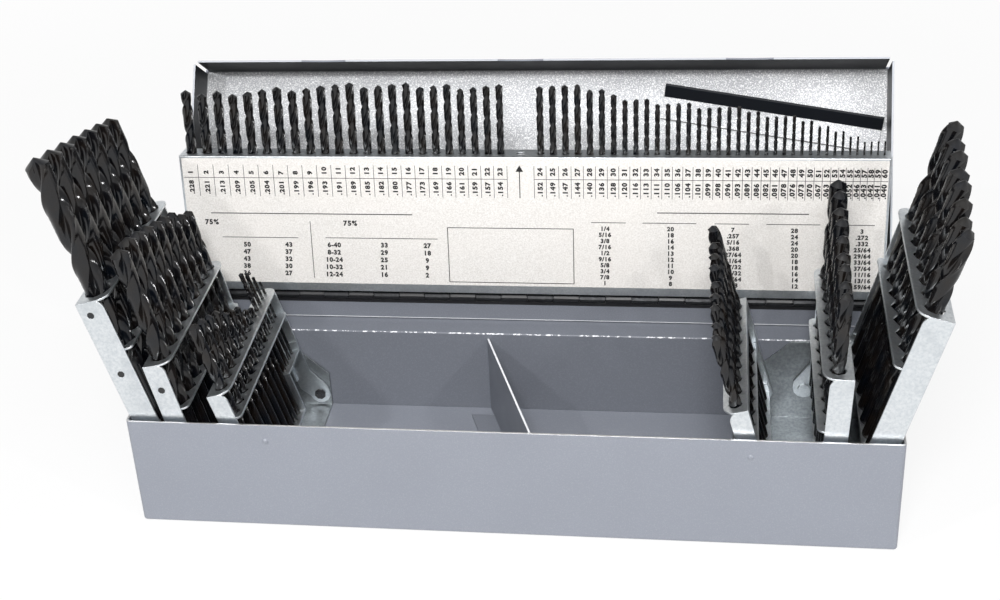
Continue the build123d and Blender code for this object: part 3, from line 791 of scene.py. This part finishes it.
def make_spot_welds():
    """Shallow spot weld marks behind the hinge leaf and the point retainer."""
    back = max(v.co.y for v in nodes["tray"].data.vertices) / MM
    outward = Matrix.Rotation(-math.pi / 2, 4, "X")
    marks = bmesh.new()
    for index in range(-4, 5):
        spot = shift(index * leaf_weld_spacing, back, leaf_weld_height)
        add_disc(marks, spot @ outward, weld_foot, weld_top, weld_depth)
    piece("tray_spot_welds", marks, "case", tray_paint)
    marks = bmesh.new()
    for index in (-1, 0, 1):
        spot = on_retainer(retainer_weld_height) @ shift(index * retainer_weld_spacing, retainer_weld_back, 0)
        add_disc(marks, spot, weld_foot, weld_top, weld_depth)
    piece("lid_spot_welds", marks, "lid", tray_paint)


def make_racks():
    for seed, name in enumerate(racks, 3):
        make_bits(f"{name}_drills", name, seed, 0.5)
        for kind in ("frame", "guide", "rest"):
            finish_node(f"{name}_{kind}", zinc)
        # the left racks' pivots take the steel darkened as painted shade
        finish_node(f"{name}_pivots", pivot_steel_painted_shade if name.startswith("left") else zinc)
    make_bits("number_drills", "number_rack", 20, math.pi)


def finish_sheets():
    for material, names in (
        (zinc, ("number_plate", "number_rest")),
        (bracket_zinc, ("left_bracket", "right_bracket")),
        (inner_paint, ("rear_liner", "divider")),
        (tray_paint, ("tray",)),
        (lid_paint, ("lid_pan", "point_retainer")),
        (leaf_paint, ("lower_hinge_leaf",)),
        (hinge_steel, ("upper_hinge_leaf", "hinge_pin")),
        (label_card, ("number_label",)),
    ):
        for name in names:
            finish_node(name, material)


# ---- floor, light and camera ---------------------------------------------------------------
white = (1, 1, 1, 1)


def seen_directly(tree):
    """One for rays from the camera, a reflection or through glass, nought for light on the object."""
    path = node(tree, "ShaderNodeLightPath").outputs
    mirrored = either(tree, path["Is Glossy Ray"], path["Is Transmission Ray"])
    return either(tree, path["Is Camera Ray"], mirrored)


def make_floor():
    """Pale floor that is seen as white, and keeps a part of the shadow near the case."""
    material, tree, shader = new_material("pale_floor")
    shader.inputs["Base Color"].default_value = (0.86, 0.86, 0.86, 1)
    shader.inputs["Roughness"].default_value = 0.9
    glow = node(tree, "ShaderNodeEmission", {"Color": white, "Strength": 1.0})
    away = node(tree, "ShaderNodeVectorMath", {0: object_place(tree)}, operation="LENGTH").outputs["Value"]
    share = both(tree, seen_directly(tree), spread(tree, away, 0.35, 1.1, 0.86, 1.0))
    blend = node(tree, "ShaderNodeMixShader", {0: share, 1: shader.outputs[0], 2: glow.outputs[0]})
    tree.links.new(blend.outputs[0], tree.nodes["Material Output"].inputs["Surface"])
    bm = bmesh.new()
    bmesh.ops.create_grid(bm, x_segments=1, y_segments=1, size=9.0, matrix=shift(0, 0, -0.2))
    floor = piece("floor", bm, None, material)


def make_world():
    """White studio, dim overhead; its light on the object is softer than the white that is seen."""
    world = bpy.data.worlds.new("studio")
    bpy.context.scene.world = world
    world.use_nodes = True
    tree = world.node_tree
    tree.nodes.clear()
    out = tree.nodes.new("ShaderNodeOutputWorld")
    height = split_place(tree, node(tree, "ShaderNodeTexCoord").outputs["Generated"])["Z"]
    light = spread(tree, height, 0.05, 0.75, 0.80, 0.14)
    sight = spread(tree, height, 0.15, 0.75, 1.0, 0.15)
    soft = node(tree, "ShaderNodeBackground", {"Color": white, "Strength": light})
    bright = node(tree, "ShaderNodeBackground", {"Color": white, "Strength": sight})
    direct = seen_directly(tree)
    blend = node(tree, "ShaderNodeMixShader", {0: direct, 1: soft.outputs[0], 2: bright.outputs[0]})
    tree.links.new(blend.outputs[0], out.inputs["Surface"])


# Name, place, aim, size and power of each lamp, in metres and watts.
case_front, case_middle = (0.05, 0.02, 0.08), (0, 0, 0.1)
lamps = (
    ("key_lamp", (0.14, -0.72, 1.45), case_front, (0.6, 0.5), 7.5),
    ("front_lamp", (0.0, -1.01, 1.14), case_front, (0.4, 0.3), 14),
    ("right_lamp", (1.0, -0.75, 0.95), case_middle, (0.09, 0.09), 4),
    ("left_lamp", (-0.7, -0.75, 0.95), case_middle, (0.04, 0.04), 3.5),
)


def make_lamp(name, place, aim, size, power):
    lamp = bpy.data.lights.new(name, "AREA")
    lamp.shape = "RECTANGLE"
    lamp.size, lamp.size_y = size
    lamp.energy = power
    holder = bpy.data.objects.new(name, lamp)
    bpy.context.scene.collection.objects.link(holder)
    holder.location = place
    holder.rotation_euler = (Vector(aim) - Vector(place)).to_track_quat("-Z", "Y").to_euler()


# The camera: place in millimetres, angles in degrees, lengths in the frame's pixels.
camera_place = (97.401, -736.598, 526.155)
camera_pitch, camera_yaw, camera_roll = 30.5425, 11.0517, -4.4791
focal_pixels = 1691.543
view_centre = (424.02, 325.22)
frame_width, frame_height = 1000, 600


def make_camera():
    camera = bpy.data.cameras.new("photo_camera")
    holder = bpy.data.objects.new("photo_camera", camera)
    bpy.context.scene.collection.objects.link(holder)
    pitch, yaw, roll = (math.radians(angle) for angle in (camera_pitch, camera_yaw, camera_roll))
    forward = Vector((-math.sin(yaw) * math.cos(pitch), math.cos(yaw) * math.cos(pitch), -math.sin(pitch)))
    right = Vector((math.cos(yaw), math.sin(yaw), 0))
    up = right.cross(forward)
    turned_right = math.cos(roll) * right + math.sin(roll) * up
    turned_up = -math.sin(roll) * right + math.cos(roll) * up
    turn = Matrix((turned_right, turned_up, -forward)).transposed()
    holder.matrix_world = shift(*camera_place) @ turn.to_4x4()
    camera.sensor_width = 36.0
    camera.lens = focal_pixels / frame_width * camera.sensor_width
    camera.shift_x = (frame_width / 2 - view_centre[0]) / frame_width
    camera.shift_y = (view_centre[1] - frame_height / 2) / frame_width
    camera.clip_start = 0.01
    bpy.context.scene.camera = holder


make_leg_hole_shade()
make_spot_welds()
make_retainer_edge()
make_racks()
finish_sheets()
make_print()
make_floor()
make_world()
for lamp in lamps:
    make_lamp(*lamp)
make_camera()
bpy.context.scene.view_settings.view_transform = "Standard"
